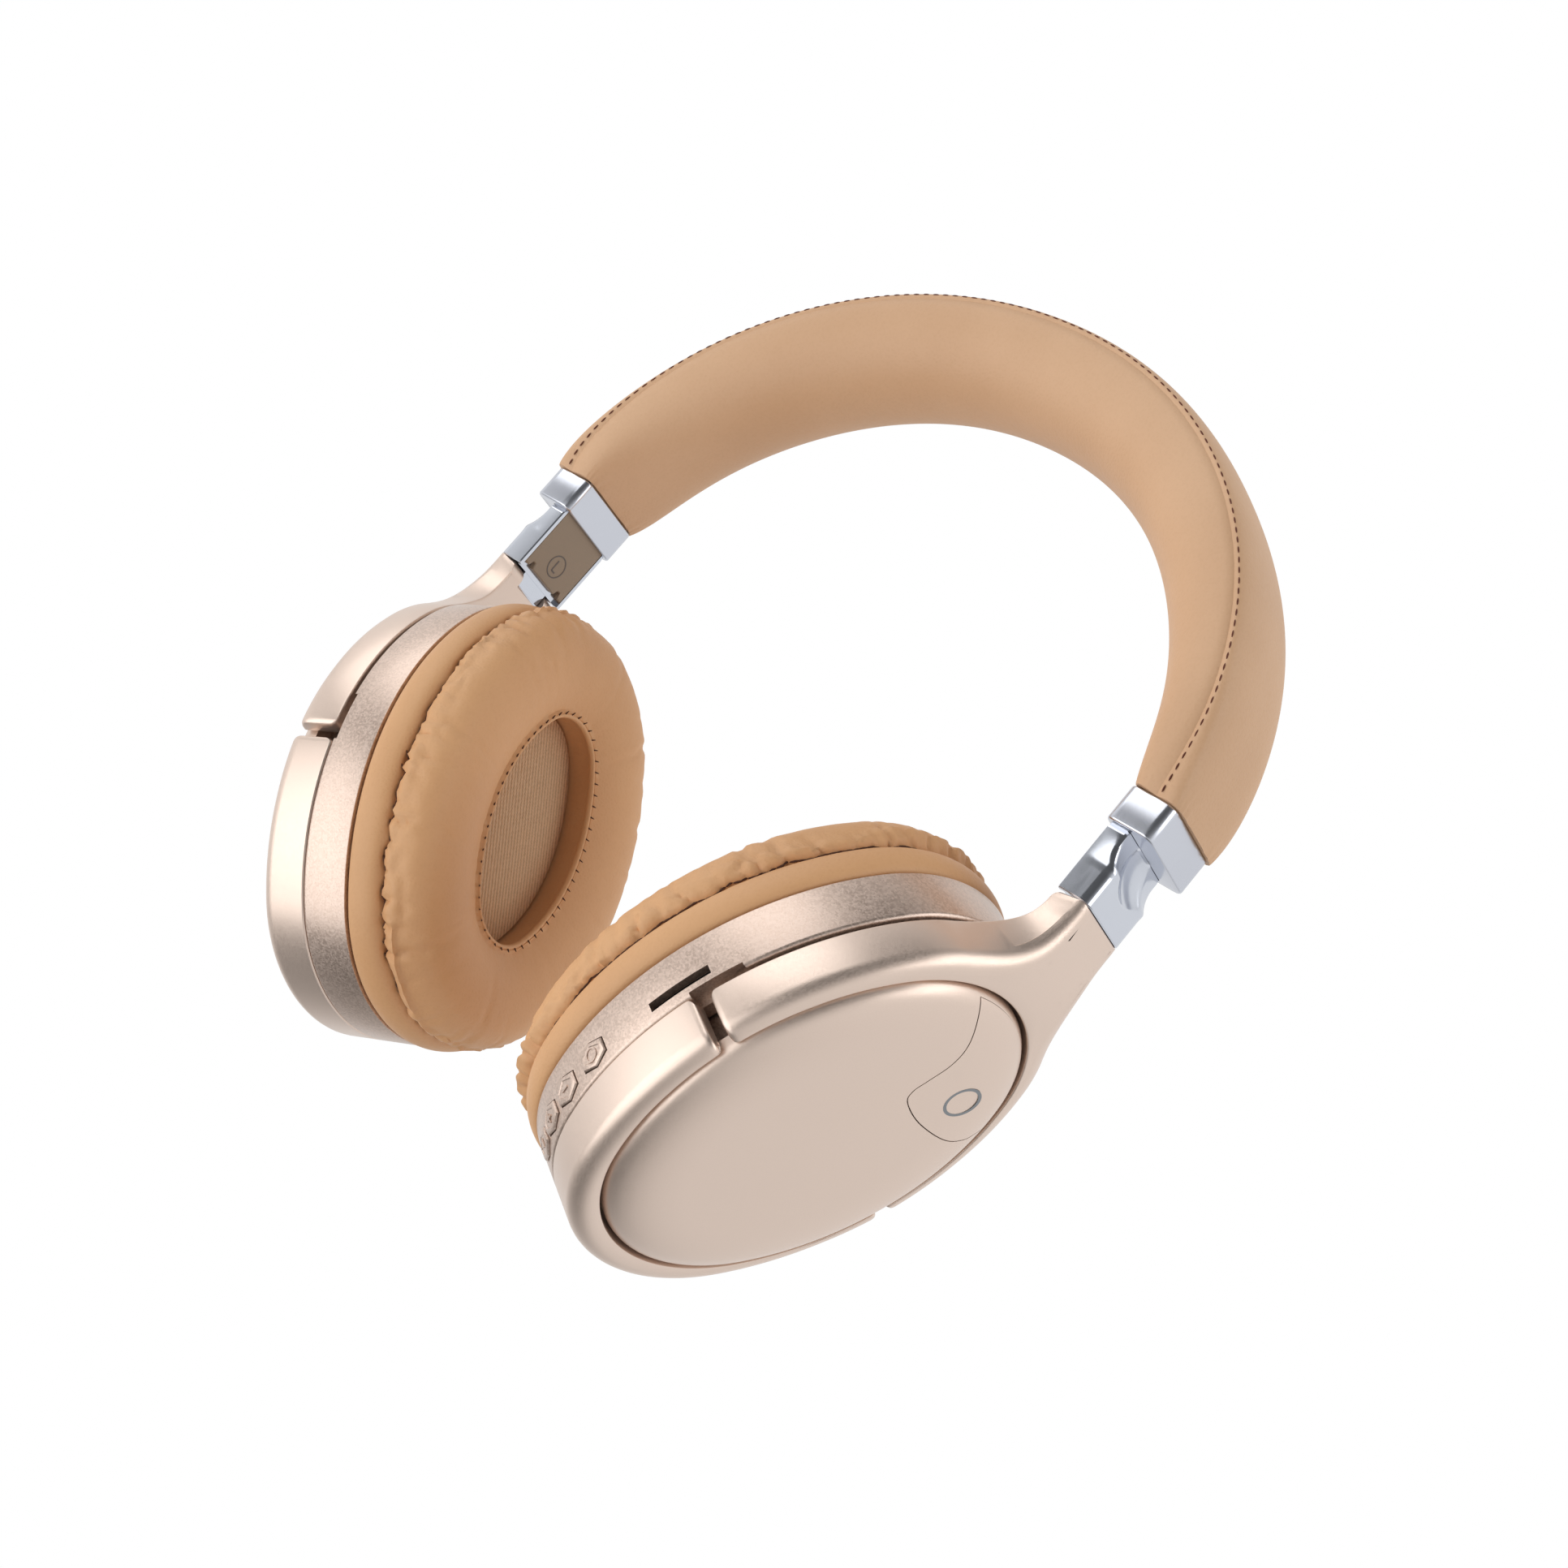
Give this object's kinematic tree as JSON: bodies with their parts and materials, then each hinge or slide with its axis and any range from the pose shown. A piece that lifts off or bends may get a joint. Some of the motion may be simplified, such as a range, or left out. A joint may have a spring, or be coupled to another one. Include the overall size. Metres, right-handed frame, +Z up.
{
  "type": "over-ear headphones",
  "caption": "Over-ear headphones with a padded headband, sliding and folding yokes, tilting cups, soft ear cushions and four press buttons.",
  "frame": {"origin": "the underside of the headband's crown, where it rests on the head or on a stand", "axes": "+Z up from the head, +X towards the wearer's right cup, +Y towards the wearer's front"},
  "size_m": [0.1798, 0.0756, 0.2031],
  "materials": {
    "tan_leather": "soft synthetic leather",
    "spring_steel": "rolled",
    "lead_sheath": "matt",
    "satin_chrome": "satin",
    "grey_nylon": "moulded",
    "taupe_plastic": "satin",
    "champagne_paint": "satin metallic",
    "champagne_sparkle": "metallic flake",
    "screw_steel": "plated",
    "driver_film": "thin film",
    "grille_cloth": "woven",
    "battery_wrap": "shrink film",
    "board_laminate": "solder mask"
  },
  "bodies": {
    "headband": {"headband_cover": "tan_leather", "headband_pad": "tan_leather", "spring_band": "spring_steel", "band_lead": "lead_sheath", "collar_left": "satin_chrome", "collar_right": "satin_chrome", "slider_guide_left": "grey_nylon", "slider_guide_right": "grey_nylon"},
    "slider_left": {"slider_strip_left": "spring_steel", "slider_shell_left": "satin_chrome", "slider_cover_left": "taupe_plastic"},
    "yoke_left": {"yoke_left": "champagne_paint", "yoke_cover_left": "taupe_plastic", "fold_pin_left": "screw_steel", "yoke_screws_left": "screw_steel", "pivot_pins_left": "screw_steel"},
    "cup_left": {"barrel_left": "champagne_sparkle", "lower_arc_left": "champagne_paint", "outer_cover_left": "champagne_paint", "accent_panel_left": "champagne_paint", "baffle_left": "grey_nylon", "cup_screws_left": "screw_steel", "driver_basket_left": "grey_nylon", "driver_magnet_left": "spring_steel", "diaphragm_left": "driver_film", "grille_cloth_left": "grille_cloth", "cushion_ring_left": "grey_nylon", "ear_cushion_left": "tan_leather", "battery": "battery_wrap"},
    "slider_right": {"slider_strip_right": "spring_steel", "slider_shell_right": "satin_chrome", "slider_cover_right": "taupe_plastic"},
    "yoke_right": {"yoke_right": "champagne_paint", "yoke_cover_right": "taupe_plastic", "fold_pin_right": "screw_steel", "yoke_screws_right": "screw_steel", "pivot_pins_right": "screw_steel"},
    "cup_right": {"barrel_right": "champagne_sparkle", "lower_arc_right": "champagne_paint", "outer_cover_right": "champagne_paint", "accent_panel_right": "champagne_paint", "baffle_right": "grey_nylon", "cup_screws_right": "screw_steel", "driver_basket_right": "grey_nylon", "driver_magnet_right": "spring_steel", "diaphragm_right": "driver_film", "grille_cloth_right": "grille_cloth", "cushion_ring_right": "grey_nylon", "ear_cushion_right": "tan_leather", "circuit_board": "board_laminate", "card_reader": "screw_steel", "audio_jack": "grey_nylon", "charging_port": "screw_steel"},
    "power_button": {"power_button": "champagne_sparkle"},
    "volume_down_button": {"volume_down_button": "champagne_sparkle"},
    "volume_up_button": {"volume_up_button": "champagne_sparkle"},
    "mode_button": {"mode_button": "champagne_sparkle"}
  },
  "joints": [
    {"name": "extend_left", "type": "slide", "parent": "headband", "child": "slider_left", "axis": [0, 0, -1], "range_m": [0, 0.022]},
    {"name": "fold_left", "type": "hinge", "parent": "slider_left", "child": "yoke_left", "pos_m": [-0.0823, 0, -0.0842], "axis": [0, 1, 0], "range_deg": [-75, 0]},
    {"name": "tilt_left", "type": "hinge", "parent": "yoke_left", "child": "cup_left", "pos_m": [-0.06344, 0, -0.13385], "axis": [0, 1, 0], "range_deg": [0, 12]},
    {"name": "extend_right", "type": "slide", "parent": "headband", "child": "slider_right", "axis": [0, 0, -1], "range_m": [0, 0.022]},
    {"name": "fold_right", "type": "hinge", "parent": "slider_right", "child": "yoke_right", "pos_m": [0.0823, 0, -0.0842], "axis": [0, 1, 0], "range_deg": [0, 75]},
    {"name": "tilt_right", "type": "hinge", "parent": "yoke_right", "child": "cup_right", "pos_m": [0.06344, 0, -0.13385], "axis": [0, 1, 0], "range_deg": [-12, 0]},
    {"name": "power_press", "type": "slide", "parent": "cup_right", "child": "power_button", "axis": [0.1765, 0.9026, 0.3927], "range_m": [0, 0.0004], "stiffness_N_per_m": 1500, "springref_m": -0.0004},
    {"name": "volume_down_press", "type": "slide", "parent": "cup_right", "child": "volume_down_button", "axis": [0.2328, 0.8231, 0.5179], "range_m": [0, 0.0004], "stiffness_N_per_m": 1500, "springref_m": -0.0004},
    {"name": "volume_up_press", "type": "slide", "parent": "cup_right", "child": "volume_up_button", "axis": [0.2969, 0.6896, 0.6605], "range_m": [0, 0.0004], "stiffness_N_per_m": 1500, "springref_m": -0.0004},
    {"name": "mode_press", "type": "slide", "parent": "cup_right", "child": "mode_button", "axis": [0.3514, 0.515, 0.7818], "range_m": [0, 0.0004], "stiffness_N_per_m": 1500, "springref_m": -0.0004}
  ]
}
